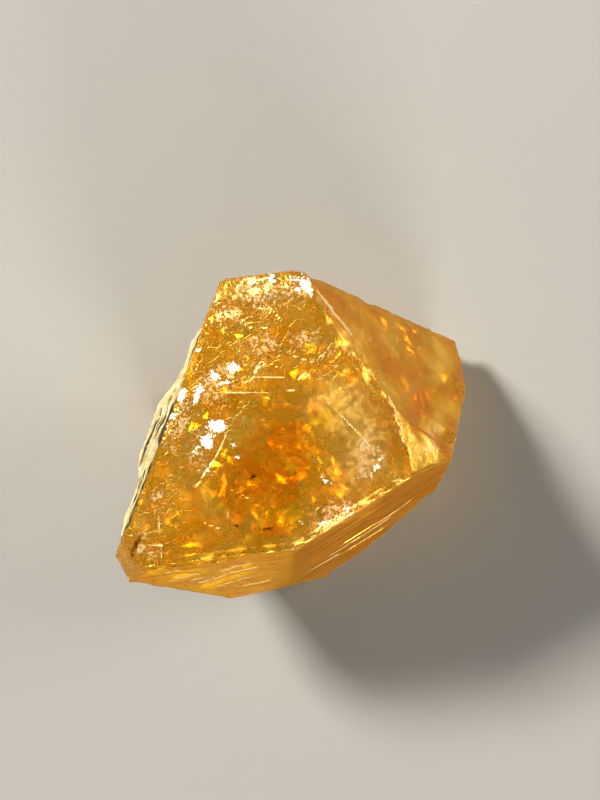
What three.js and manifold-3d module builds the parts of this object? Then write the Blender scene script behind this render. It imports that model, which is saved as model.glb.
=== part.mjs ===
// A loose scheelite crystal: a steep tetragonal bipyramid, broken off on its left side,
// with a thin crust of matrix left on the break. It rests on one of its pyramid faces.
// Millimetres, +Z up, origin at the middle of the footprint.

import * as THREE from 'three';
import { mergeVertices } from 'three/addons/utils/BufferGeometryUtils.js';
import Module from 'manifold-3d';

// Lattice and setting of the crystal
const AXIAL_RATIO = 2.17;
const TURN = 35.9;
const HEART = [0.28, 3.52, 10.7];
const BLOCK = 60;

// Grown faces: Miller indices, distance from the heart, and the growth layers that rise on them
const GROWN_FACES = {
  main: { miller: [1, 1, 2], distance: 12.14, layers: [{ rise: 0.16, setback: 0.45 }] },
  upperRight: { miller: [-1, 1, 2], distance: 9.9, layers: [{ rise: 0.14, setback: 0.7 }] },
  lowerLeft: { miller: [1, 1, -2], distance: 13.6, layers: [{ rise: 0.14, setback: 0.6 }] },
  underTop: {
    miller: [-1, -1, 2],
    distance: 5.3,
    layers: [{ rise: 0.3, setback: 1.4 }, { rise: 0.25, setback: 3.6 }],
  },
  underLeft: { miller: [1, -1, -2], distance: 15.1, layers: [{ rise: 0.25, setback: 1.2 }] },
  underRight: { miller: [-1, 1, -2], distance: 12.5, layers: [{ rise: 0.22, setback: 1.1 }] },
  base: { miller: [-1, -1, -2], distance: 10.5, layers: [{ rise: 0.2, setback: 0.9 }] },
};

// Steeper flank faces, bevels and breaks: direction in degrees and distance from the heart
const OTHER_FACES = {
  lowerRight: { azimuth: -57.1, elevation: 17.1, distance: 11.37 },
  keelFacet: { azimuth: -73.2, elevation: 20.4, distance: 12.91 },
  topBevel: { azimuth: 97.2, elevation: 71.8, distance: 14.64 },
  leftBreak: { azimuth: 158.8, elevation: 4.8, distance: 9.59 },
  cornerBreak: { azimuth: -155.8, elevation: 28.2, distance: 19.13 },
  rightCorner: { azimuth: -16.8, elevation: 2.1, distance: 12.58 },
  shoulder: { azimuth: 18.4, elevation: 43.2, distance: 13.5 },
  footBevel: { azimuth: -74.6, elevation: 14.0, distance: 13.73 },
};

// Rough fracture skins over the breaks
const ROUGH_SKINS = [
  { face: 'topBevel', width: 12, cell: 0.75, relief: 0.34, seed: 3 },
  { face: 'leftBreak', width: 44, cell: 1.6, relief: 0.22, seed: 11 },
  { face: 'cornerBreak', width: 10, cell: 0.9, relief: 0.3, seed: 19 },
];

// Shell-shaped hollows: middle, outward direction, long direction and the three half sizes
const HOLLOWS = [
  { at: [11.3, 0.3, 4.2], out: [0.78, 0.5, 0.3], along: [4.8, -0.5, -11.5], half: [8.4, 2.6, 0.85], fine: 5 },
  { at: [10.9, -1.0, 6.9], out: [0.78, 0.3, 0.4], along: [2.0, -0.6, -4.0], half: [3.1, 1.5, 1.0], fine: 3 },
  { at: [9.6, -0.2, 10.6], out: [0.7, 0.25, 0.66], along: [1.0, -2.6, 0.4], half: [2.6, 1.3, 0.55], fine: 3 },
  { at: [-5.6, 9.9, 12.1], out: [-0.6, 0.7, 0.5], along: [1, 0.9, 0.1], half: [1.5, 0.9, 0.6], fine: 2 },
  { at: [0.9, 10.6, 12.0], out: [0.4, 0.8, 0.45], along: [1, -0.6, 0], half: [1.3, 0.8, 0.55], fine: 2 },
  { at: [13.2, 3.6, -6.6], out: [1, 0.3, 0.1], along: [0, 0.3, -1], half: [1.8, 0.9, 0.5], fine: 2 },
  { at: [0.8, -9.5, 12.0], out: [0.1, -0.9, 0.5], along: [1, 0.1, 0], half: [0.75, 0.4, 0.4], fine: 2 },
  { at: [-13.6, -12.0, 7.6], out: [-0.9, -0.5, 0], along: [0.5, -0.8, 0.6], half: [1.9, 1.0, 0.6], fine: 2 },
  { at: [-12.0, -1.9, -10.6], out: [-0.8, 0, -0.6], along: [0.1, 1, 0], half: [2.2, 1.2, 0.9], fine: 3 },
  { at: [4.0, -15.4, -10.2], out: [0.5, -0.7, -0.5], along: [1, 0.5, 0.3], half: [2.6, 1.1, 0.8], fine: 3 },
  { at: [12.4, 3.4, -9.2], out: [0.8, 0.4, -0.4], along: [0.4, 0.2, 1], half: [2.2, 1.3, 0.8], fine: 3 },
  { at: [-4.2, 5.8, -0.6], out: [-0.1, 0.9, -0.4], along: [1, 0.1, 0.1], half: [3.2, 1.5, 0.5], fine: 3 },
];

// Narrow furrows: the two ends, the face they are in, half width and depth
const FURROWS = [
  { ends: [[-4.93, -1.05, 12.3], [-7.01, -4.92, 12.3]], face: 'main', half: 0.12, depth: 0.16 },
  { ends: [[-2.86, 3.23, 12.3], [-0.6, 3.25, 12.3]], face: 'main', half: 0.1, depth: 0.12 },
  { ends: [[-9.77, -7.19, 12.3], [-9.73, -10.35, 12.3]], face: 'main', half: 0.1, depth: 0.14 },
  { ends: [[-11.75, -9.0, 12.3], [-12.25, -10.4, 12.0]], face: 'main', half: 0.2, depth: 0.7 },
  { ends: [[-1.9, 4.65, 12.3], [-1.45, 5.0, 12.3]], face: 'main', half: 0.16, depth: 0.5 },
  { ends: [[-8.6, -10.85, 12.05], [-3.2, -10.15, 12.05]], face: 'lowerLeft', half: 0.2, depth: 0.5 },
  { ends: [[2.9, -9.1, 10.0], [8.6, -5.4, 9.9]], face: 'lowerRight', half: 0.16, depth: 0.22 },
  { ends: [[4.2, -9.2, 7.6], [10.6, -5.1, 7.5]], face: 'lowerRight', half: 0.18, depth: 0.24 },
  { ends: [[1.2, -12.2, 5.0], [9.2, -7.1, 4.9]], face: 'lowerRight', half: 0.2, depth: 0.26 },
  { ends: [[2.4, -12.6, 1.4], [9.4, -8.1, 1.3]], face: 'lowerRight', half: 0.2, depth: 0.24 },
  { ends: [[2.0, -14.2, -3.6], [7.6, -10.6, -3.7]], face: 'lowerRight', half: 0.22, depth: 0.26 },
  { ends: [[-10.4, -12.6, 7.6], [-3.4, -11.7, 7.7]], face: 'lowerLeft', half: 0.18, depth: 0.22 },
  { ends: [[-9.2, -14.0, 4.6], [-2.6, -13.2, 4.7]], face: 'lowerLeft', half: 0.18, depth: 0.2 },
  { ends: [[2.6, 9.0, 9.2], [8.4, 4.9, 3.4]], face: 'upperRight', half: 0.14, depth: 0.2 },
];

// Small chips knocked out along the edges: two faces, then the faces that end the edge
const CHIPPED_EDGES = [
  { edge: ['main', 'upperRight', 'topBevel', 'shoulder'], count: 7, size: [0.3, 0.7], seed: 5 },
  { edge: ['main', 'lowerRight', 'shoulder', 'lowerLeft'], count: 6, size: [0.25, 0.55], seed: 8 },
  { edge: ['main', 'shoulder', 'upperRight', 'lowerRight'], count: 3, size: [0.3, 0.6], seed: 13 },
  { edge: ['main', 'lowerLeft', 'lowerRight', 'cornerBreak'], count: 5, size: [0.2, 0.45], seed: 21 },
  { edge: ['main', 'topBevel', 'leftBreak', 'upperRight'], count: 4, size: [0.35, 0.7], seed: 34 },
  { edge: ['topBevel', 'underTop', 'leftBreak', 'upperRight'], count: 5, size: [0.3, 0.6], seed: 55 },
  { edge: ['upperRight', 'underTop', 'topBevel', 'underRight'], count: 4, size: [0.35, 0.8], seed: 60 },
  { edge: ['lowerRight', 'underRight', 'rightCorner', 'base'], count: 5, size: [0.3, 0.8], seed: 66 },
  { edge: ['lowerLeft', 'underLeft', 'cornerBreak', 'footBevel'], count: 4, size: [0.3, 0.7], seed: 71 },
  { edge: ['base', 'underTop', 'leftBreak', 'underRight'], count: 5, size: [0.4, 1.0], seed: 77 },
  { edge: ['base', 'underLeft', 'leftBreak', 'footBevel'], count: 4, size: [0.4, 0.9], seed: 84 },
];

// The crust of matrix on the break, drawn in the plane of the break: along the upper edge
// from its top end, and down from it. Its rim is ragged, and thins out away from the upper edge.
const CRUST_START = [-5.8, 8.8, 12.1];
const CRUST_GAP = 0.2;
const CRUST_RIM = { points: 84, ragged: 0.32, taper: 1.3, upperEdge: -0.8 };
const CRUST_OUTLINE = [
  [2.2, -0.3], [6.0, -0.12], [10.0, 0], [14.2, 0], [18.3, -0.15], [19.5, -2.0], [19.2, -4.6],
  [17.6, -6.2], [17.9, -8.4], [16.2, -10.9], [14.6, -11.4], [14.2, -14.0], [12.3, -15.8],
  [11.1, -13.2], [9.3, -12.6], [8.4, -9.6], [6.1, -8.1], [5.6, -5.2], [3.4, -3.9], [2.6, -2.0],
];
const CRUST = { thin: 0.3, bulge: 0.75, bulgeAt: 11.0, bulgeHalf: 2.6, relief: 0.24, ledge: 0.12, cell: 0.6 };

const wasm = await Module();
wasm.setup();

// Value noise between 0 and 1, the same on every run
function hash(x, y, seed) {
  const wave = Math.sin(x * 127.1 + y * 311.7 + seed * 74.7) * 43758.5453;
  return wave - Math.floor(wave);
}

function noise(x, y, seed) {
  const cellX = Math.floor(x);
  const cellY = Math.floor(y);
  const u = THREE.MathUtils.smoothstep(x - cellX, 0, 1);
  const v = THREE.MathUtils.smoothstep(y - cellY, 0, 1);
  const near = THREE.MathUtils.lerp(hash(cellX, cellY, seed), hash(cellX + 1, cellY, seed), u);
  const far = THREE.MathUtils.lerp(hash(cellX, cellY + 1, seed), hash(cellX + 1, cellY + 1, seed), u);
  return THREE.MathUtils.lerp(near, far, v);
}

// Solids and meshes
function solidFrom(geometry) {
  const bare = geometry.clone();
  bare.deleteAttribute('normal');
  bare.deleteAttribute('uv');
  const merged = mergeVertices(bare, 1e-5);
  return new wasm.Manifold(new wasm.Mesh({
    numProp: 3,
    vertProperties: new Float32Array(merged.attributes.position.array),
    triVerts: new Uint32Array(merged.index.array),
  }));
}

function meshFrom(solid, name, material) {
  const { vertProperties, triVerts } = solid.getMesh();
  const geometry = new THREE.BufferGeometry();
  geometry.setAttribute('position', new THREE.BufferAttribute(new Float32Array(vertProperties), 3));
  geometry.setIndex(new THREE.BufferAttribute(new Uint32Array(triVerts), 1));
  geometry.computeVertexNormals();
  const mesh = new THREE.Mesh(geometry, material);
  mesh.name = name;
  mesh.position.set(...HEART);
  return mesh;
}

// Directions of the faces, with the main face level on top
function millerNormal([h, k, l]) {
  return new THREE.Vector3(h, k, l / AXIAL_RATIO).normalize();
}

function direction(azimuth, elevation) {
  const around = THREE.MathUtils.degToRad(azimuth);
  const up = THREE.MathUtils.degToRad(elevation);
  return new THREE.Vector3(Math.cos(up) * Math.cos(around), Math.cos(up) * Math.sin(around), Math.sin(up));
}

function crystalSetting() {
  const zAxis = new THREE.Vector3(0, 0, 1);
  const level = new THREE.Quaternion().setFromUnitVectors(millerNormal(GROWN_FACES.main.miller), zAxis);
  const side = millerNormal(GROWN_FACES.upperRight.miller).applyQuaternion(level);
  const spin = THREE.MathUtils.degToRad(TURN) - Math.atan2(side.y, side.x);
  return new THREE.Quaternion().setFromAxisAngle(zAxis, spin).multiply(level);
}

function allFaces() {
  const setting = crystalSetting();
  const faces = {};
  for (const [name, { miller, distance, layers }] of Object.entries(GROWN_FACES)) {
    faces[name] = { normal: millerNormal(miller).applyQuaternion(setting), distance, layers };
  }
  for (const [name, { azimuth, elevation, distance }] of Object.entries(OTHER_FACES)) {
    faces[name] = { normal: direction(azimuth, elevation), distance, layers: [] };
  }
  return faces;
}

const faces = allFaces();

// A frame with Z along the outward direction, X as near as can be to the long direction
function frameOf(at, out, along) {
  const z = out.clone().normalize();
  const x = along.clone().addScaledVector(z, -along.dot(z)).normalize();
  const y = new THREE.Vector3().crossVectors(z, x);
  return new THREE.Matrix4().makeBasis(x, y, z).setPosition(at);
}

function sideways(normal) {
  const level = Math.abs(normal.z) > 0.9 ? new THREE.Vector3(1, 0, 0) : new THREE.Vector3(0, 0, 1);
  return new THREE.Vector3().crossVectors(level, normal);
}

// The point that three faces share
function corner(...names) {
  const [a, b, c] = names.map((name) => faces[name]);
  const bc = new THREE.Vector3().crossVectors(b.normal, c.normal);
  const ca = new THREE.Vector3().crossVectors(c.normal, a.normal);
  const ab = new THREE.Vector3().crossVectors(a.normal, b.normal);
  const sum = bc.clone().multiplyScalar(a.distance);
  sum.addScaledVector(ca, b.distance).addScaledVector(ab, c.distance);
  return sum.divideScalar(a.normal.dot(bc));
}

// A block bounded by every face at its given distance
function cutBeyond(body, normal, distance) {
  const waste = new THREE.BoxGeometry(2 * BLOCK, 2 * BLOCK, BLOCK);
  waste.translate(0, 0, BLOCK / 2);
  waste.applyMatrix4(frameOf(normal.clone().multiplyScalar(distance), normal, sideways(normal)));
  return body.subtract(solidFrom(waste));
}

function blockWithin(distances) {
  let body = solidFrom(new THREE.BoxGeometry(BLOCK, BLOCK, BLOCK));
  for (const [name, distance] of Object.entries(distances)) {
    body = cutBeyond(body, faces[name].normal, distance);
  }
  return body;
}

// The grown body: a plain block, with each face's growth layers stepped up on it
function grownBody() {
  const plain = {};
  for (const [name, { distance }] of Object.entries(faces)) plain[name] = distance;
  let body = blockWithin(plain);
  for (const [name, { layers }] of Object.entries(faces)) {
    let height = plain[name];
    for (const { rise, setback } of layers) {
      height += rise;
      const stepped = {};
      for (const other of Object.keys(plain)) {
        stepped[other] = other === name ? height : plain[other] - setback;
      }
      body = body.add(blockWithin(stepped));
    }
  }
  return body;
}

// Fracture skin: a block whose inner side is rough, taken off along a break
function takeRoughSkin(body, { face, width, cell, relief, seed }) {
  const { normal, distance } = faces[face];
  const cells = Math.round(width / cell);
  const waste = new THREE.BoxGeometry(width, width, width, cells, cells, 1);
  waste.translate(0, 0, width / 2);
  const points = waste.attributes.position;
  for (let i = 0; i < points.count; i += 1) {
    if (points.getZ(i) > relief) continue;
    const x = points.getX(i) / cell;
    const y = points.getY(i) / cell;
    const bumps = 0.6 * noise(x / 2.3, y / 2.3, seed) + 0.4 * hash(Math.round(x * 2), Math.round(y * 2), seed);
    points.setZ(i, -relief * bumps);
  }
  const middle = middleOf(face);
  const at = middle.addScaledVector(normal, distance - middle.dot(normal));
  waste.applyMatrix4(frameOf(at, normal, sideways(normal)));
  return body.subtract(solidFrom(waste));
}

// The middle of a break, from the corners of its outline
function middleOf(face) {
  const outlines = {
    topBevel: [['main', 'leftBreak'], ['main', 'upperRight'], ['underTop', 'leftBreak'], ['underTop', 'upperRight']],
    leftBreak: [['main', 'topBevel'], ['main', 'cornerBreak'], ['base', 'underTop'], ['base', 'underLeft']],
    cornerBreak: [['main', 'leftBreak'], ['main', 'lowerLeft'], ['underLeft', 'leftBreak']],
  };
  const corners = outlines[face].map(([one, two]) => corner(face, one, two));
  const sum = corners.reduce((total, point) => total.add(point), new THREE.Vector3());
  return sum.divideScalar(corners.length);
}

// Hollows, furrows and chips are all flattened balls taken out of the surface
function takeBall(body, at, out, along, half, fine) {
  const ball = new THREE.IcosahedronGeometry(1, fine);
  ball.scale(...half);
  ball.applyMatrix4(frameOf(at, out, along));
  return body.subtract(solidFrom(ball));
}

function takeHollow(body, { at, out, along, half, fine }) {
  const vectors = [at, out, along].map((values) => new THREE.Vector3(...values));
  return takeBall(body, ...vectors, half, fine);
}

function takeFurrow(body, { ends, face, half, depth }) {
  const [from, to] = ends.map((values) => new THREE.Vector3(...values));
  const { normal, distance, layers } = faces[face];
  const top = layers.reduce((height, layer) => height + layer.rise, distance);
  const along = to.clone().sub(from);
  const at = from.clone().add(to).multiplyScalar(0.5);
  at.addScaledVector(normal, top - at.dot(normal));
  return takeBall(body, at, normal, along, [along.length() / 2, half, depth], 1);
}

function takeChips(body, { edge, count, size, seed }) {
  const [one, two, start, end] = edge;
  const from = corner(one, two, start);
  const to = corner(one, two, end);
  const out = faces[one].normal.clone().add(faces[two].normal).normalize();
  const along = to.clone().sub(from);
  let chipped = body;
  for (let i = 0; i < count; i += 1) {
    const place = (i + 0.15 + 0.7 * hash(i, 1, seed)) / count;
    const radius = THREE.MathUtils.lerp(size[0], size[1], hash(i, 2, seed));
    const lift = radius * (0.35 + 0.3 * hash(i, 3, seed));
    const at = from.clone().addScaledVector(along, place).addScaledVector(out, lift);
    const slant = faces[hash(i, 4, seed) > 0.5 ? one : two].normal;
    const half = [radius * (1.2 + 1.3 * hash(i, 5, seed)), radius, radius];
    chipped = takeBall(chipped, at, out.clone().addScaledVector(slant, 0.5), along, half, 1);
  }
  return chipped;
}

function crystalSolid() {
  let body = grownBody();
  for (const skin of ROUGH_SKINS) body = takeRoughSkin(body, skin);
  for (const hollow of HOLLOWS) body = takeHollow(body, hollow);
  for (const furrow of FURROWS) body = takeFurrow(body, furrow);
  for (const chips of CHIPPED_EDGES) body = takeChips(body, chips);
  return body;
}

// Crust: a lumpy, faintly layered slab, trimmed to its outline
function crustRim() {
  const curve = new THREE.SplineCurve(CRUST_OUTLINE.map(([x, y]) => new THREE.Vector2(x, y)));
  const rim = curve.getSpacedPoints(CRUST_RIM.points);
  return rim.map((point, i) => {
    const shift = point.y < CRUST_RIM.upperEdge ? CRUST_RIM.ragged : 0;
    return new THREE.Vector2(point.x + shift * (hash(i, 1, 2) - 0.5), point.y + shift * (hash(i, 2, 2) - 0.5));
  });
}

function crustThickness(at, lowerRim) {
  const { thin, bulge, bulgeAt, bulgeHalf, relief, ledge } = CRUST;
  const swell = THREE.MathUtils.smoothstep(1.6 - Math.abs(at.x - bulgeAt) / bulgeHalf, 0, 1);
  const fade = THREE.MathUtils.smoothstep(14 + at.y, 0, 12);
  const lumps = relief * (noise(at.x / 1.7, at.y / 1.4, 5) + 0.5 * noise(at.x / 0.6, at.y / 0.6, 9) - 0.6);
  const toRim = Math.min(...lowerRim.map((point) => point.distanceTo(at)));
  const taper = THREE.MathUtils.smoothstep(toRim / CRUST_RIM.taper, -0.5, 1);
  const height = (thin + bulge * swell * fade + lumps) * taper;
  return CRUST_GAP + Math.max(0.15, ledge * Math.round(height / ledge));
}

function crustSolid() {
  const rim = crustRim();
  const lowerRim = rim.filter((point) => point.y < CRUST_RIM.upperEdge);
  const xs = rim.map((point) => point.x);
  const ys = rim.map((point) => point.y);
  const [left, right] = [Math.min(...xs) - 1, Math.max(...xs) + 1];
  const [low, high] = [Math.min(...ys) - 1, Math.max(...ys) + 1];
  const cellsX = Math.round((right - left) / CRUST.cell);
  const cellsY = Math.round((high - low) / CRUST.cell);
  const slab = new THREE.BoxGeometry(right - left, high - low, 1, cellsX, cellsY, 1);
  slab.translate((left + right) / 2, (low + high) / 2, -0.5);
  const points = slab.attributes.position;
  for (let i = 0; i < points.count; i += 1) {
    const at = new THREE.Vector2(points.getX(i), points.getY(i));
    if (points.getZ(i) > -0.1) points.setZ(i, crustThickness(at, lowerRim));
  }
  const trim = new THREE.ExtrudeGeometry(new THREE.Shape(rim), { depth: 4, bevelEnabled: false });
  trim.translate(0, 0, CRUST_GAP);
  const { normal } = faces.leftBreak;
  const edge = corner('main', 'leftBreak', 'cornerBreak').sub(corner('main', 'leftBreak', 'topBevel'));
  const start = new THREE.Vector3(...CRUST_START);
  start.addScaledVector(normal, faces.leftBreak.distance - start.dot(normal));
  const place = frameOf(start, normal, edge);
  slab.applyMatrix4(place);
  trim.applyMatrix4(place);
  return solidFrom(slab).intersect(solidFrom(trim));
}

const amber = new THREE.MeshStandardMaterial({ color: 0xc8870f, roughness: 0.3, metalness: 0 });
const cream = new THREE.MeshStandardMaterial({ color: 0xe3d2a0, roughness: 0.9, metalness: 0 });

const specimen = new THREE.Group();
specimen.add(meshFrom(crystalSolid(), 'crystal', amber));
specimen.add(meshFrom(crustSolid(), 'matrix_crust', cream));

export default specimen;
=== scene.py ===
# Amber scheelite crystal, a steep bipyramid broken off on its left side, with a thin crust of
# matrix on the break. It rests on one of its faces, and the camera looks down on it.
import math
import random

import bpy
import numpy as np
from mathutils import Matrix, Quaternion, Vector


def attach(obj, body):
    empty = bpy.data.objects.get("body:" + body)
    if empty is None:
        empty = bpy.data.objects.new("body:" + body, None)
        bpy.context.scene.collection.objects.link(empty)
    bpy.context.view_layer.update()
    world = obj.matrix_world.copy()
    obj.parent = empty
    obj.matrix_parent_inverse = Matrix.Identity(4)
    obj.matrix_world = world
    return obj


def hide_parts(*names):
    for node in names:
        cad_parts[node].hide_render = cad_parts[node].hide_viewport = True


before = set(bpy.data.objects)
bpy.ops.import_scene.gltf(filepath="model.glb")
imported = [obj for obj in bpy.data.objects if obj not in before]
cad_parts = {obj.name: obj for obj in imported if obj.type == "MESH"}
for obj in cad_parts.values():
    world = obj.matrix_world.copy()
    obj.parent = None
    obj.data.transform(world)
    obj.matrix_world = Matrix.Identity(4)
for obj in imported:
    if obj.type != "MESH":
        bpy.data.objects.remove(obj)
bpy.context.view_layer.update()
mm = 0.001
print("frame loaded")


# Selecting, copying and finishing
def pickOnly(piece):
    bpy.ops.object.select_all(action="DESELECT")
    piece.select_set(True)
    bpy.context.view_layer.objects.active = piece


def copyOfNode(nodeName, pieceName):
    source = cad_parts[nodeName]
    piece = bpy.data.objects.new(pieceName, source.data.copy())
    bpy.context.scene.collection.objects.link(piece)
    pickOnly(piece)
    bpy.ops.object.mode_set(mode="EDIT")
    bpy.ops.mesh.select_all(action="SELECT")
    bpy.ops.mesh.remove_doubles(threshold=0.002 * mm)
    bpy.ops.object.mode_set(mode="OBJECT")
    return piece


def modifier(piece, kind, **settings):
    pickOnly(piece)
    bpy.ops.object.modifier_add(type=kind)
    added = piece.modifiers[-1]
    for name, value in settings.items():
        setattr(added, name, value)
    bpy.ops.object.modifier_apply(modifier=added.name)


def relief(piece, name, kind, height, direction="NORMAL", **settings):
    texture = bpy.data.textures.new(name, kind)
    for setting, value in settings.items():
        setattr(texture, setting, value)
    modifier(
        piece, "DISPLACE", texture=texture, texture_coords="LOCAL", strength=height,
        direction=direction,
    )


def dress(piece, material, slotName, *nodes):
    piece.data.materials.clear()
    piece.data.materials.append(material)
    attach(piece, "root")
    if nodes:
        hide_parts(*nodes)


# Shader nodes
class Flow:  # one socket of a material; sums on it add Math nodes
    def __init__(self, tree, socket=None):
        self.tree = tree
        self.socket = socket

    def node(self, kind, settings=None, inputs=None, output=0):
        added = self.tree.nodes.new(kind)
        for name, value in (settings or {}).items():
            setattr(added, name, value)
        for name, value in (inputs or {}).items():
            if isinstance(value, Flow):
                self.tree.links.new(value.socket, added.inputs[name])
            else:
                added.inputs[name].default_value = value
        return Flow(self.tree, added.outputs[output] if added.outputs else None)

    def math(self, operation, first, second):
        return self.node("ShaderNodeMath", {"operation": operation}, {0: first, 1: second})

    def __add__(self, other):
        return self.math("ADD", self, other)

    def __radd__(self, other):
        return self.math("ADD", other, self)

    def __sub__(self, other):
        return self.math("SUBTRACT", self, other)

    def __rsub__(self, other):
        return self.math("SUBTRACT", other, self)

    def __mul__(self, other):
        return self.math("MULTIPLY", self, other)

    def __rmul__(self, other):
        return self.math("MULTIPLY", other, self)

    def larger(self, other):
        return self.math("MAXIMUM", self, other)

    def smaller(self, other):
        return self.math("MINIMUM", self, other)

    def size(self):
        return self.node("ShaderNodeMath", {"operation": "ABSOLUTE"}, {0: self})

    def wrapped(self):  # the part after the decimal point
        return self.node("ShaderNodeMath", {"operation": "FRACT"}, {0: self})

    def between(self, low, high, start=0.0, end=1.0):  # smooth step from start to end
        values = {"Value": self, "From Min": low, "From Max": high, "To Min": start, "To Max": end}
        return self.node("ShaderNodeMapRange", {"interpolation_type": "SMOOTHSTEP"}, values)

    def blend(self, first, second):  # colours, by this mask
        return self.node("ShaderNodeMix", {"data_type": "RGBA"}, {0: self, 6: first, 7: second}, 2)


def startMaterial(name):
    material = bpy.data.materials.new(name)
    material.use_nodes = True
    tree = material.node_tree
    tree.nodes.clear()
    return material, Flow(tree)


def placeInMm(flow):
    place = flow.node("ShaderNodeTexCoord", output="Object")
    return flow.node("ShaderNodeMapping", {}, {"Vector": place, "Scale": (1000, 1000, 1000)})


def noise(place, size, detail=2.0, rough=0.5, output=0):
    values = {"Vector": place, "Scale": 1 / size, "Detail": detail, "Roughness": rough}
    return place.node("ShaderNodeTexNoise", {}, values, output)


def cracks(place, size):
    values = {"Vector": place, "Scale": 1 / size}
    return place.node("ShaderNodeTexVoronoi", {"feature": "DISTANCE_TO_EDGE"}, values)


def vectorMath(operation, first, inputs):
    return first.node("ShaderNodeVectorMath", {"operation": operation}, {0: first, **inputs})


def bent(place, size, amount):  # the place, pushed about by noise
    push = noise(place, size, 1.0, output=1)
    centred = vectorMath("SUBTRACT", push, {1: (0.5, 0.5, 0.5)})
    return vectorMath("ADD", place, {1: vectorMath("SCALE", centred, {"Scale": amount})})


def bumped(flow, height, strength):
    values = {"Height": height, "Strength": strength, "Distance": 0.2 * mm}
    return flow.node("ShaderNodeBump", {}, values)


def finished(material, flow, values, inside=None):  # the surface, and what is inside it
    outputs = {"Surface": flow.node("ShaderNodeBsdfPrincipled", {}, values)}
    if inside:
        outputs["Volume"] = inside
    flow.node("ShaderNodeOutputMaterial", {}, outputs)
    return material


# Camera, floor and studio light
cameraView = {
    "position": (6.50, 20.81, 146.46),  # millimetres
    "target": (0.28, 3.52, 10.7),
    "up": (-0.006, 0.992, -0.126),
    "lens": 77,
    "sensor": 36,
}


def addCamera():
    position = Vector(cameraView["position"]) * mm
    backwards = (position - Vector(cameraView["target"]) * mm).normalized()
    right = Vector(cameraView["up"]).cross(backwards).normalized()
    up = backwards.cross(right)
    turn = Matrix((right, up, backwards)).transposed().to_4x4()
    bpy.ops.object.select_all(action="DESELECT")
    bpy.ops.object.camera_add(location=position)
    camera = bpy.context.object
    camera.matrix_world = Matrix.Translation(position) @ turn
    camera.data.lens = cameraView["lens"]
    camera.data.sensor_width = cameraView["sensor"]
    camera.data.clip_start = 5 * mm
    bpy.context.scene.camera = camera


floorLook = {"size": 3.0, "colour": (0.275, 0.268, 0.252, 1), "roughness": 0.7}


def addFloor():
    bpy.ops.object.select_all(action="DESELECT")
    bpy.ops.mesh.primitive_plane_add(size=floorLook["size"], location=(0, 0, 0))
    floor = bpy.context.object
    floor.name = "paleFloor"
    material, flow = startMaterial("palePaper")
    values = {"Base Color": floorLook["colour"], "Roughness": floorLook["roughness"]}
    floor.data.materials.append(finished(material, flow, values))


studioLights = {  # place in metres, size in metres, watts, colour
    "key": ((-0.30, 0.26, 0.36), 0.09, 4.4, (1.0, 0.97, 0.92)),
    "front": ((0.16, -0.42, 0.14), 0.22, 2.1, (1.0, 0.98, 0.95)),
    "right": ((0.42, 0.14, 0.13), 0.22, 1.5, (1.0, 0.98, 0.95)),
}
worldGrey = 0.10


def addLights():
    for name, (place, size, watts, colour) in studioLights.items():
        bpy.ops.object.select_all(action="DESELECT")
        bpy.ops.object.light_add(type="AREA", location=place)
        light = bpy.context.object
        light.name = name + "Light"
        light.data.size = size
        light.data.energy = watts
        light.data.color = colour
        light.rotation_euler = (-Vector(place)).to_track_quat("-Z", "Y").to_euler()
    world = bpy.data.worlds.new("studio")
    world.use_nodes = True
    world.node_tree.nodes["Background"].inputs["Color"].default_value = (1, 1, 1, 1)
    world.node_tree.nodes["Background"].inputs["Strength"].default_value = worldGrey
    bpy.context.scene.world = world
    bpy.context.scene.view_settings.view_transform = "Standard"
    bpy.context.scene.view_settings.look = "High Contrast"


addCamera()
addFloor()
addLights()
print("camera, floor and lights placed")


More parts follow.
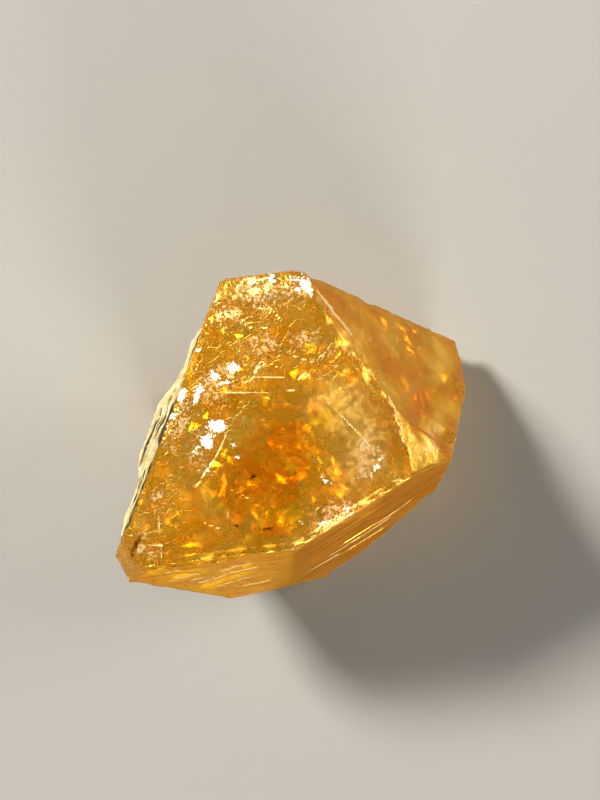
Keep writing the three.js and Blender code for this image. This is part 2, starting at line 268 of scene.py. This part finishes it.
# The crystal's marks on its upper faces as seen from above, in millimetres: each is an ellipse,
# as (x, y, half length, half width, turn in degrees)
crystalMarks = {
    "paintedGlint": [  # painted white glints: highlights where the light catches the surface
        (-4.06, 7.46, 0.46, 0.42, 20), (-5.35, 6.75, 0.50, 0.30, -20),
        (-4.70, 6.35, 0.42, 0.26, 10), (-6.63, 5.50, 1.00, 0.30, 68), (-7.80, 5.45, 0.52, 0.42, 80),
        (-6.63, 8.65, 0.22, 0.16, 0), (-8.60, 3.81, 0.24, 0.20, 30), (-8.97, 3.20, 0.22, 0.18, 0),
        (-5.24, 3.10, 0.72, 0.50, 15), (-5.97, 1.95, 0.58, 0.46, 60), (-6.90, 1.35, 0.35, 0.13, 40),
        (-4.14, 1.65, 0.17, 0.13, 0), (-3.77, 0.91, 0.16, 0.12, 0), (-6.04, -0.14, 0.30, 0.12, 60),
        (0.91, -4.00, 0.20, 0.14, 0), (2.52, -4.00, 0.24, 0.16, 20), (4.28, -2.90, 0.20, 0.15, 0),
        (1.15, 13.55, 0.46, 0.44, 0), (0.55, 13.95, 0.3, 0.16, 10), (0.7, 13.25, 0.32, 0.22, 40),
        (1.5, 13.0, 0.22, 0.34, 20), (-1.20, 13.9, 0.50, 0.22, -30), (6.45, 0.25, 0.55, 0.13, 63),
        (2.74, -0.88, 0.50, 0.16, -25),
    ],
    "paintedFlash": [  # painted gold flashes: light reflected from fractures inside
        (1.50, 2.02, 0.95, 0.30, -34), (6.33, -0.06, 1.30, 0.36, 63), (2.30, 3.59, 1.2, 0.9, 20),
        (0.11, -3.56, 1.3, 0.8, 10), (-3.11, -5.2, 0.9, 0.5, 30), (0.11, 0.09, 0.8, 0.6, 0),
        (-4.5, -3.64, 0.55, 0.12, 88), (-3.7, -1.85, 0.8, 0.09, -27), (-1.2, -2.2, 0.5, 0.3, 50),
        (0.9, -1.6, 0.6, 0.25, -60), (-2.0, 9.25, 0.9, 0.8, 0), (3.4, 4.6, 0.5, 0.3, 40),
        (-8.5, -9.0, 1.3, 0.5, 25), (-6.5, -10.6, 1.4, 0.55, 20), (-4.5, -9.6, 1.3, 0.45, 25),
        (-9.9, -8.0, 0.7, 0.35, 30), (-3.5, -8.3, 0.9, 0.3, 30), (-7.2, -8.3, 0.8, 0.3, 20),
        (-5.6, -6.6, 1.0, 0.45, 10), (-1.6, -5.8, 0.9, 0.4, 20), (-7.6, -5.2, 0.6, 0.3, 30),
        (-1.9, -4.4, 0.5, 0.7, 0), (-3.6, -6.0, 1.2, 0.5, 15), (-0.7, -3.2, 0.25, 0.9, 10),
        (5.6, -4.2, 0.8, 0.15, 33),
    ],
    "fleck": [  # dark flecks and the crack at the lower left corner
        (-1.43, 8.20, 0.19, 0.15, 30), (-3.40, 8.20, 0.14, 0.08, 0), (-1.5, -4.46, 0.5, 0.2, 15),
        (6.1, 2.1, 0.4, 0.1, -80), (-3.84, -4.31, 0.2, 0.16, 0), (-0.62, -5.05, 0.25, 0.12, 0),
        (-2.6, -0.6, 0.3, 0.18, 40), (-11.3, -5.8, 0.9, 0.21, 64), (-11.65, -6.7, 0.5, 0.17, 78),
    ],
    "frost": [  # frosted patches
        (0.4, 13.2, 2.2, 1.0, 0), (-2.2, 13.0, 2.2, 1.6, 10), (-4.4, 11.3, 1.5, 1.1, 30),
        (-1.9, 9.2, 1.4, 1.2, 0), (1.28, 9.55, 1.5, 0.8, 0), (3.26, 8.43, 0.8, 0.6, 0),
        (-5.2, 6.2, 2.0, 1.5, 50), (-9.99, -6.47, 0.9, 0.8, 0), (-9.7, -2.22, 0.8, 0.7, 0),
        (3.33, -3.42, 2.2, 1.2, 25), (6.0, 1.2, 1.2, 2.0, 10), (-6.6, 1.0, 1.0, 2.0, 0),
        (-8.2, 3.5, 1.2, 2.4, -25), (2.7, 11.9, 1.0, 0.25, -50), (9.5, 5.6, 0.8, 0.16, 52),
        (7.7, 9.8, 0.6, 0.14, -35), (6.9, 9.0, 0.5, 0.14, -55), (9.8, 8.1, 0.5, 0.14, -55),
        (10.5, 1.6, 1.0, 0.7, 60), (12.5, 0.6, 0.5, 1.8, -10), (8.0, 3.0, 0.35, 1.3, 15),
        (-6.9, -10.4, 1.0, 0.26, 20), (-5.6, -9.4, 0.9, 0.2, 25), (-7.9, -9.0, 0.6, 0.16, 20),
        (-4.6, -8.2, 0.9, 0.16, 25), (-4.2, -9.3, 0.8, 0.22, 25), (-8.9, -9.6, 0.7, 0.18, 25),
        (5.7, 0.0, 1.6, 0.9, 63), (-7.5, 9.0, 1.0, 2.5, -20), (-11.0, -6.0, 0.8, 1.4, -20),
    ],
    "worn": [  # where the fine cracks crowd
        (-6.0, 6.5, 3.6, 8.5, -22), (-2.0, 11.5, 5.0, 3.4, 0), (2.6, 8.0, 3.0, 2.6, 0),
        (-9.5, -3.5, 1.8, 4.5, -20), (3.3, -3.4, 2.6, 1.4, 25), (-0.5, 8.8, 3.0, 1.5, 0),
        (5.6, 10.4, 4.8, 1.9, -48), (12.4, 0.6, 0.7, 2.6, -10), (-6.5, -9.6, 4.0, 1.6, 15),
    ],
    "deep": [  # the deep orange core
        (-1.36, -0.9, 2.6, 3.4, 0), (-0.48, 0.96, 1.8, 3.2, 0), (-3.6, -1.8, 1.3, 2.2, 20),
        (10.7, 4.3, 1.8, 0.9, 5), (7.7, 3.3, 0.45, 1.2, 20), (-1.4, -4.5, 1.2, 0.6, 15),
    ],
    "pale": [  # hazy, straw-coloured parts
        (5.45, 1.43, 2.0, 3.8, -20), (3.6, 4.5, 2.6, 2.4, 0), (-2.5, 12.9, 2.2, 0.5, 0),
        (11.4, 6.8, 1.0, 1.5, 0), (10.9, 2.3, 1.5, 0.9, 40), (4.6, 9.6, 1.6, 0.8, -45),
    ],
}
scratches = [  # ends on the upper faces
    ((-4.55, 2.60), (-4.98, 1.55)), ((-4.98, 1.55), (-5.45, 0.70)), ((-5.45, 0.70), (-6.85, -1.45)),
    ((-2.55, 6.79), (-0.33, 6.72)), ((-4.21, 6.79), (-3.19, 6.27)), ((-3.19, 6.27), (-2.6, 6.75)),
    ((-5.24, 5.82), (-4.72, 5.6)), ((-4.72, 5.6), (-0.4, 5.67)), ((-0.4, 5.67), (0.5, 5.85)),
    ((-6.11, 10.66), (-5.38, 9.84)), ((-1.87, 11.85), (-0.77, 10.73)),
    ((-1.6, 12.1), (-0.5, 10.95)), ((-4.43, -1.48), (-2.97, -2.22)),
    ((-4.43, -3.19), (-4.58, -4.16)), ((-9.6, -3.6), (-9.4, -6.7)), ((-11.2, -5.7), (-9.3, -5.8)),
    ((0.62, 6.57), (1.35, 7.16)), ((-2.53, 7.09), (-2.2, 7.8)), ((-2.2, 7.8), (-1.5, 8.0)),
    ((2.7, 5.2), (4.4, 3.4)), ((4.4, 3.4), (6.3, 1.4)), ((-7.6, 7.9), (-6.4, 7.1)),
    ((-8.8, 5.6), (-8.0, 4.9)), ((-3.6, 10.7), (-2.4, 10.2)), ((-2.4, 10.2), (-1.1, 10.5)),
    ((0.1, 8.4), (1.6, 7.9)), ((-7.9, 0.6), (-7.1, -0.2)), ((-8.6, -0.9), (-7.9, -2.3)),
    ((-6.2, -4.1), (-4.9, -4.6)), ((7.3, 5.3), (8.3, 3.3)), ((2.6, 12.2), (4.6, 9.7)),
    ((-8.9, -9.4), (-7.0, -8.7)), ((-7.4, -10.3), (-5.0, -9.3)), ((-6.2, -11.2), (-3.4, -9.9)),
    ((-9.4, -8.4), (-8.2, -8.1)), ((-5.4, -8.6), (-3.0, -7.8)), ((-4.8, -9.1), (-2.6, -8.4)),
    ((-7.9, -9.8), (-6.9, -9.5)), ((-4.2, -11.4), (-2.0, -10.7)), ((2.6, -9.4), (5.2, -7.6)),
    ((4.6, -8.2), (7.6, -6.0)), ((6.6, -6.4), (9.2, -4.2)), ((1.2, -10.8), (3.4, -9.6)),
    ((-2.55, 6.75), (-2.2, 7.5)), ((-2.2, 7.5), (-1.5, 7.8)), ((-1.5, 7.8), (-0.8, 7.5)),
    ((0.75, 6.6), (1.0, 7.0)), ((1.0, 7.0), (1.4, 7.0)), ((1.4, 7.0), (1.65, 6.6)),
    ((-5.4, 12.2), (-4.4, 11.7)), ((-4.4, 11.7), (-3.3, 10.6)), ((-3.3, 10.9), (-2.3, 10.6)),
    ((-3.1, 10.7), (-3.0, 9.7)), ((-4.6, 9.3), (-4.0, 8.7)), ((-3.6, 8.3), (-3.0, 7.5)),
    ((-5.0, 8.0), (-4.8, 7.2)), ((2.0, 13.0), (3.2, 11.6)), ((3.2, 11.4), (4.4, 10.0)),
]


def insideMarks(points, marks):  # roughly how far each point is inside the nearest mark
    best = np.full(len(points), -9.0)
    for x, y, halfLength, halfWidth, turn in marks:
        angle = math.radians(turn)
        along = (points[:, 0] - x) * math.cos(angle) + (points[:, 1] - y) * math.sin(angle)
        across = (points[:, 1] - y) * math.cos(angle) - (points[:, 0] - x) * math.sin(angle)
        reach = np.sqrt((along / halfLength) ** 2 + (across / halfWidth) ** 2)
        depth = (1 - reach) * min(halfLength, halfWidth)
        best = np.maximum(best, depth)
    return best


def awayFromScratches(points):
    nearest = np.full(len(points), 9.0)
    for start, end in scratches:
        start, end = np.array(start), np.array(end)
        line = end - start
        share = np.clip((points[:, :2] - start) @ line / (line @ line), 0, 1)
        gap = np.linalg.norm(points[:, :2] - start - share[:, None] * line, axis=1)
        nearest = np.minimum(nearest, gap)
    return nearest


def storeValues(piece, name, values):
    layer = piece.data.attributes.new(name, "FLOAT", "POINT")
    layer.data.foreach_set("value", values.astype(np.float32))


# Groups of faces that look alike: the direction they face, as azimuth and elevation in degrees
faceGroups = {
    "lowerBand": [(-57.1, 17.1), (-73.2, 20.4), (-74.6, 14.0), (-16.8, 2.1)],
    "brightBand": [(-82.7, 23.8)],
    "slope": [(35.9, 17.3)],
}


def facing(normals, directions):  # 1 where a normal lies along one of the directions
    best = np.full(len(normals), -1.0)
    for azimuth, elevation in directions:
        around, up = math.radians(azimuth), math.radians(elevation)
        out = (math.cos(up) * math.cos(around), math.cos(up) * math.sin(around), math.sin(up))
        best = np.maximum(best, normals @ np.array(out))
    return np.clip((best - 0.93) / 0.05, 0, 1)


def sharpness(piece, points, normals):  # how convex the surface is at each point
    ends = np.empty(len(piece.data.edges) * 2, dtype=np.int64)
    piece.data.edges.foreach_get("vertices", ends)
    one, two = ends.reshape(-1, 2).T
    step = points[two] - points[one]
    bend = ((normals[two] - normals[one]) * step).sum(axis=1) / (step ** 2).sum(axis=1)
    total = np.zeros(len(points))
    for side in (one, two):
        np.add.at(total, side, bend)
    return total


def meshVectors(data, name):
    values = np.empty(len(data) * 3)
    data.foreach_get(name, values)
    return values.reshape(-1, 3)


def markCrystal(piece):
    points = meshVectors(piece.data.vertices, "co") / mm
    normals = meshVectors(piece.data.vertices, "normal")
    under = np.clip(-normals[:, 2] * 20, 0, 9)  # no marks from above on the faces below
    for name, marks in crystalMarks.items():
        storeValues(piece, name, insideMarks(points, marks) - under)
    storeValues(piece, "scratch", awayFromScratches(points) + under)
    storeValues(piece, "edge", sharpness(piece, points, normals))
    for name, directions in faceGroups.items():
        storeValues(piece, name, facing(normals, directions))
    storeValues(piece, "steep", np.clip((0.8 - normals[:, 2]) / 0.45, 0, 1))


# The crystal's shape and finish
crystal = {
    "voxel": 0.19 * mm,
    "waves": (0.07 * mm, 3.2 * mm),  # height and size
    "ripples": (0.05 * mm, 1.0 * mm),
    "amber": (1.0, 0.585, 0.022, 1),
    "deep": (0.92, 0.38, 0.008, 1),
    "gold": (1.0, 0.78, 0.22, 1),
    "bright": (1.0, 0.66, 0.02, 1),
    "ochre": (0.84, 0.36, 0.004, 1),
    "brown": (0.20, 0.05, 0.002, 1),
    "frost": (0.80, 0.68, 0.48, 1),
    "straw": (0.88, 0.66, 0.22, 1),
    "white": (1.0, 0.98, 0.93, 1),
    "roughness": 0.10,
    "lustre": 0.42,  # of the steep faces
    "lowerLustre": 0.55,
    "brightLustre": 0.6,
    "transmission": 0.83,
    "ior": 1.45,
    "sheen": 0.12,
    "gloss": (1.0, 0.65, 0.25, 1),
    "glow": 0.5,
    "glowReach": (0.0012, 0.0008, 0.0003),
    "absorbed": (0.98, 0.76, 0.03, 1),
    "density": 30,
    "relief": 0.5,
}
# How ragged the edge of each kind of mark is, and where in it the mark starts and is full
markEdges = {
    "paintedGlint": (0.9, 0.0, 0.05),
    "paintedFlash": (1.3, -0.1, 0.9),
    "fleck": (0.5, 0.0, 0.12),
    "frost": (2.4, -0.15, 0.9),
    "worn": (3.0, -1.2, 1.0),
    "deep": (2.0, -1.2, 1.2),
    "pale": (2.0, -1.0, 1.4),
    "edge": (8.0, 4.0, 10.0),
}
# Fine cracks on the surface: the size of their pattern in millimetres, their width and strength
crackLook = {"hairs": (1.4, 0.008, 0.9), "curls": (1.1, 0.009, 1.0), "net": (0.9, 0.015, 0.6)}


def marked(flow, name):  # a value stored on the mesh
    return flow.node("ShaderNodeAttribute", {"attribute_name": name}, {}, "Fac")


def terraces(place, size, steps):  # sheets that rise slowly and end at a sharp edge
    return (noise(place, size, 1.5) * steps).wrapped()


def fineCracks(place, curved, ragged, worn):  # level lines of noise and edges of bent cells
    patterns = {
        "hairs": (noise(curved, crackLook["hairs"][0], 2.0) - 0.5).size(),
        "curls": (noise(place, crackLook["curls"][0], 1.0) - 0.45).size(),
        "net": cracks(curved, crackLook["net"][0]),
    }
    for name, pattern in patterns.items():
        width, strength = crackLook[name][1:]
        patterns[name] = pattern.between(0.0, width, strength, 0.0)
    broken = noise(place, 0.9, 2.0)
    lines = patterns["hairs"] * broken.between(0.46, 0.54)
    lines = lines + patterns["curls"] * broken.between(0.5, 0.44)
    lines = lines + patterns["net"] * broken.between(0.47, 0.55)
    return lines.smaller(1.0) * (worn * 0.75 + 0.15) * ragged.between(-0.3, 0.05, 0.5, 1.0)


def crystalMaterial():
    material, flow = startMaterial("amberScheelite")
    place = placeInMm(flow)
    curved = bent(place, 1.6, 1.1)
    ragged = noise(place, 0.35, 3.0, 0.65) - 0.5
    cloud = noise(curved, 3.4, 2.0, 0.55)
    fine = noise(curved, 0.7, 2.0, 0.6)
    sheets = terraces(curved, 3.0, 7.0)
    slivers = terraces(place, 1.2, 6.0)
    shift = sheets * 0.3 + slivers * 0.15 + cloud + fine * 0.4

    splinters = cracks(place, 0.22) * 2.0 - 0.35
    pushed = {"paintedGlint": splinters * 0.25, "paintedFlash": cloud * 0.4}
    masks = {}
    for name, (rough, low, high) in markEdges.items():
        depth = marked(flow, name) + ragged * rough
        if name in pushed:
            depth = depth + pushed[name]
        masks[name] = depth.between(low, high)
    paintedGlint, paintedFlash, fleck, frost, worn, deep, pale, edge = masks.values()
    steep, slope = marked(flow, "steep"), marked(flow, "slope")
    lowerBand, brightBand = marked(flow, "lowerBand"), marked(flow, "brightBand")

    lines = fineCracks(place, curved, ragged, worn)
    scratch = (marked(flow, "scratch") - ragged * 0.12).between(0.03, 0.08, 1.0, 0.0)
    drawn = lines.larger(scratch)

    # growth lines run level round the steep faces
    level = flow.node("ShaderNodeMapping", {}, {"Vector": place, "Scale": (0.12, 0.12, 2.2)})
    streaks = noise(level, 1.0, 2.0, 0.6)

    grit = ragged * 0.5 + noise(place, 0.17, 2.0, 0.6) - 0.5
    milk = frost * grit.between(-0.06, 0.06)
    haze = pale * fine.between(0.3, 0.65, 0.5, 1.0)
    sparks = paintedFlash * fine.between(0.35, 0.6, 0.3, 1.0)

    warm = shift.between(0.7, 1.3).blend(crystal["deep"], crystal["amber"])
    colour = shift.between(0.5, 1.6).blend(crystal["amber"], crystal["gold"])
    colour = (deep * 0.9).blend(colour, warm)
    layers = [  # each covers the ones before it
        (pale * 0.8, "straw"),
        (lowerBand * streaks.between(0.65, 0.4), "ochre"),
        # painted glow: patches of the lower front face made brighter yellow, for light coming out
        # through it
        (brightBand * fine.between(0.35, 0.6), "bright"),
        (brightBand * streaks.between(0.5, 0.35) * 0.6, "ochre"),
        (slope * cloud.between(0.7, 0.3) * 0.7, "ochre"),
        # painted flashes: reflected gold light put into the colour
        (paintedFlash * 0.7, "bright"),
        ((milk * 0.85).larger(drawn * 0.9), "frost"),
        # paler along the sharpest convex edges
        (edge * 0.5, "frost"),
        (fleck * 0.9, "brown"),
        # painted glints: white highlights put into the colour
        (paintedGlint, "white"),
    ]
    for mask, tone in layers:
        colour = mask.blend(colour, crystal[tone])

    # roughness of the frost, cracks and haze, and of the painted glints and flashes
    hazeAndGlints = milk.larger(drawn).larger(haze).larger(sparks).larger(paintedGlint * 0.8)
    metal = paintedGlint.larger(drawn * 0.75).larger(milk * 0.55).larger(haze * 0.4).larger(sparks * 0.4)
    metal = metal.larger(steep * cloud.between(0.3, 0.7, 0.5, 1.0) * crystal["lustre"])
    metal = metal.larger(brightBand * crystal["brightLustre"])
    metal = metal.larger(lowerBand * crystal["lowerLustre"])
    height = fine * 0.25 - drawn * 0.12 - scratch * 0.2 + ragged * (frost + paintedGlint) * 0.5
    height = height + streaks * lowerBand.larger(brightBand) * 0.7
    values = {
        "Base Color": colour,
        "Roughness": hazeAndGlints * 0.5 + steep * 0.15 + cloud * 0.1 + crystal["roughness"],
        "Metallic": metal,
        "IOR": crystal["ior"],
        "Specular IOR Level": crystal["sheen"],
        "Specular Tint": crystal["gloss"],
        "Transmission Weight": crystal["transmission"],
        "Subsurface Weight": crystal["glow"],
        "Subsurface Radius": crystal["glowReach"],
        "Subsurface Scale": 1.0,
        "Normal": bumped(flow, height, crystal["relief"]),
    }
    absorbing = {"Color": crystal["absorbed"], "Density": crystal["density"]}
    inside = flow.node("ShaderNodeVolumeAbsorption", {}, absorbing)
    return finished(material, flow, values, inside)


# Old fractures inside, where the light turns gold: thin warped flakes, in millimetres
veils = {
    "count": 300,
    "seed": 7,
    "radius": (0.25, 2.0),
    "slim": (0.35, 0.9),  # width as a share of length
    "thin": 0.035,
    "margin": 0.45,  # to the crystal's surface
    "middle": (0.5, 1.0, 16.0),
    "reach": (12.0, 13.0, 8.0),
    "tries": 60,
    "alongFaces": 0.6,  # the share of flakes that lie along the nearest face
    "lean": (28, 90),  # degrees at most, for those and for the rest
    "warp": 0.7,
    "warpSize": {"X": 0.5, "Y": 0.7, "Z": 0.9},
    "copper": (0.95, 0.45, 0.05, 1),
    "gold": (1.0, 0.80, 0.30, 1),
    "roughness": 0.22,
}


def addFlakes(body):
    flakes = []
    for number in range(veils["count"]):
        radius = random.uniform(*veils["radius"])
        along = random.random() < veils["alongFaces"]
        lean = math.radians(random.uniform(0, veils["lean"][0 if along else 1]))
        for attempt in range(veils["tries"]):
            away = Vector([random.uniform(-1, 1) * reach for reach in veils["reach"]])
            middle = (Vector(veils["middle"]) + away) * mm
            nearest, normal = body.closest_point_on_mesh(middle)[1:3]
            if (nearest - middle).dot(normal) > (veils["margin"] + radius * math.sin(lean)) * mm:
                break
        else:
            continue
        spin = Quaternion((0, 0, 1), random.uniform(0, 2 * math.pi)) @ Quaternion((1, 0, 0), lean)
        turn = (normal.to_track_quat("Z", "Y") @ spin).to_euler()
        bpy.ops.object.select_all(action="DESELECT")
        bpy.ops.mesh.primitive_ico_sphere_add(
            subdivisions=2, radius=mm, location=middle, rotation=turn
        )
        flake = bpy.context.object
        flake.scale = (radius, radius * random.uniform(*veils["slim"]), veils["thin"])
        flakes.append(flake)
    for flake in flakes:
        flake.select_set(True)
    bpy.context.view_layer.objects.active = flakes[0]
    bpy.ops.object.join()
    sheet = bpy.context.object
    bpy.ops.object.transform_apply(location=True, rotation=True, scale=True)
    return sheet


def veilMaterial():
    material, flow = startMaterial("goldenVeil")
    tone = noise(placeInMm(flow), 0.8, 3.0, 0.6).between(0.35, 0.65)
    colour = tone.blend(veils["copper"], veils["gold"])
    values = {"Base Color": colour, "Roughness": veils["roughness"], "Metallic": 1.0}
    return finished(material, flow, values)


def makeVeils():
    random.seed(veils["seed"])
    piece = addFlakes(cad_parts["crystal"])
    piece.name = "goldenVeils"
    for axis, size in veils["warpSize"].items():
        relief(piece, "veilWarp" + axis, "CLOUDS", veils["warp"] * mm, axis, noise_scale=size * mm)
    dress(piece, veilMaterial(), "crystal")
    print("veils made,", len(piece.data.polygons), "faces")


def makeCrystal():
    piece = copyOfNode("crystal", "amberCrystal")
    modifier(piece, "REMESH", mode="VOXEL", voxel_size=crystal["voxel"])
    markCrystal(piece)
    height, size = crystal["waves"]
    relief(piece, "slowWaves", "CLOUDS", height, noise_scale=size, noise_depth=1)
    height, size = crystal["ripples"]
    relief(piece, "ripples", "CLOUDS", height, noise_scale=size, noise_depth=2)
    pickOnly(piece)
    bpy.ops.object.shade_smooth()
    dress(piece, crystalMaterial(), "crystal", "crystal")
    print("crystal made,", len(piece.data.polygons), "faces")


makeVeils()
makeCrystal()


# The crust of matrix on the break
crust = {
    "voxel": 0.09 * mm,
    "lumps": (0.16 * mm, 0.7 * mm),  # height and size
    "grains": (0.07 * mm, 0.2 * mm),
    "inwards": (0.929, -0.360, -0.084),  # towards the break, by the gap and a little more
    "shift": 0.38 * mm,
    "cream": (0.47, 0.40, 0.19, 1),
    "pale": (0.60, 0.55, 0.37, 1),
    "ochre": (0.27, 0.17, 0.05, 1),
    "dark": (0.09, 0.065, 0.035, 1),
    "layerTurn": 67.6,  # degrees, along the break
    "layerSize": (3.4, 0.17, 2.0),
    "relief": 0.7,
}


def crustMaterial():
    material, flow = startMaterial("creamMatrix")
    place = placeInMm(flow)
    curved = bent(place, 1.5, 0.6)
    lumps = noise(curved, 1.1, 4.0, 0.6)
    grain = noise(place, 0.16, 3.0, 0.6)
    turn = (0, 0, math.radians(crust["layerTurn"]))
    turned = {"Vector": curved, "Rotation": turn, "Scale": crust["layerSize"]}
    sheet = flow.node("ShaderNodeMapping", {"vector_type": "TEXTURE"}, turned)
    layers = noise(sheet, 1.0, 3.0, 0.6)
    gaps = layers.between(0.47, 0.41) * noise(place, 0.7, 2.0).between(0.36, 0.48)
    gaps = gaps * marked(flow, "rim")

    colour = lumps.between(0.38, 0.66).blend(crust["cream"], crust["pale"])
    colour = (layers.between(0.5, 0.68) * 0.7).blend(colour, crust["ochre"])
    colour = (grain.between(0.52, 0.68) * 0.45).blend(colour, crust["ochre"])
    colour = gaps.blend(colour, crust["dark"])
    height = grain * 0.5 + layers * 0.8 - gaps * 0.8 + lumps * 0.5
    values = {
        "Base Color": colour,
        "Roughness": grain.between(0.3, 0.7, 0.95, 0.75),
        "Normal": bumped(flow, height, crust["relief"]),
    }
    return finished(material, flow, values)


def makeCrust():
    piece = copyOfNode("matrix_crust", "matrixCrust")
    modifier(piece, "REMESH", mode="VOXEL", voxel_size=crust["voxel"])
    height, size = crust["lumps"]
    relief(piece, "crustLumps", "CLOUDS", height, noise_scale=size, noise_depth=2)
    height, size = crust["grains"]
    relief(piece, "crustGrains", "CLOUDS", height, noise_scale=size, noise_depth=1)
    pickOnly(piece)
    bpy.ops.object.shade_smooth()
    bpy.ops.transform.translate(value=Vector(crust["inwards"]) * crust["shift"])
    bpy.ops.object.transform_apply(location=True, rotation=True, scale=True)
    upwards = meshVectors(piece.data.vertices, "normal")[:, 2]
    storeValues(piece, "rim", np.clip(upwards * 2 - 0.3, 0, 1))
    dress(piece, crustMaterial(), "matrix", "matrix_crust")
    print("crust made,", len(piece.data.polygons), "faces")


makeCrust()
